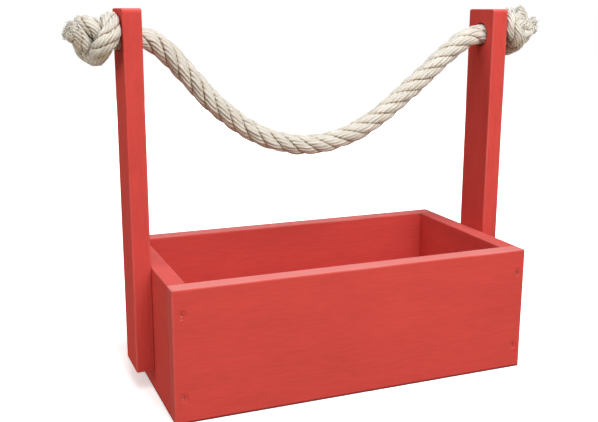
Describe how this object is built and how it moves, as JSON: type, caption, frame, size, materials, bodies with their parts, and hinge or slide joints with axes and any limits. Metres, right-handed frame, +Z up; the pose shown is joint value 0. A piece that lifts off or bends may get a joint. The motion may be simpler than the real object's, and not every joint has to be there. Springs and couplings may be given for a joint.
{
  "type": "rope handle storage box",
  "caption": "Open-topped painted timber storage box with a post at each end and a slack natural-fibre rope handle knotted through the posts.",
  "frame": {"origin": "on the ground, under the middle of the box", "axes": "+Z up, +X along the length of the box, -Y to the front"},
  "size_m": [0.3372, 0.136, 0.248],
  "materials": {
    "painted_wood": "satin coral red paint over planed softwood, fine grain showing",
    "rope": "four-strand laid natural fibre, cream",
    "screw_steel": "painted over with the boards",
    "brad_steel": "painted over with the boards"
  },
  "bodies": {
    "box": {"front_panel": "painted_wood", "back_panel": "painted_wood", "left_end_panel": "painted_wood", "right_end_panel": "painted_wood", "floor_panel": "painted_wood", "left_post": "painted_wood", "right_post": "painted_wood", "front_left_screws": "screw_steel", "front_right_screws": "screw_steel", "back_left_screws": "screw_steel", "back_right_screws": "screw_steel", "left_post_screws": "screw_steel", "right_post_screws": "screw_steel", "back_floor_brads": "brad_steel", "left_floor_brads": "brad_steel", "right_floor_brads": "brad_steel"},
    "rope_handle": {"rope_span": "rope", "left_knot": "rope", "right_knot": "rope"}
  },
  "joints": [
    {"name": "rope_swing", "type": "hinge", "parent": "box", "child": "rope_handle", "pos_m": [0, 0, 0.23], "axis": [1, 0, 0], "continuous": true}
  ]
}
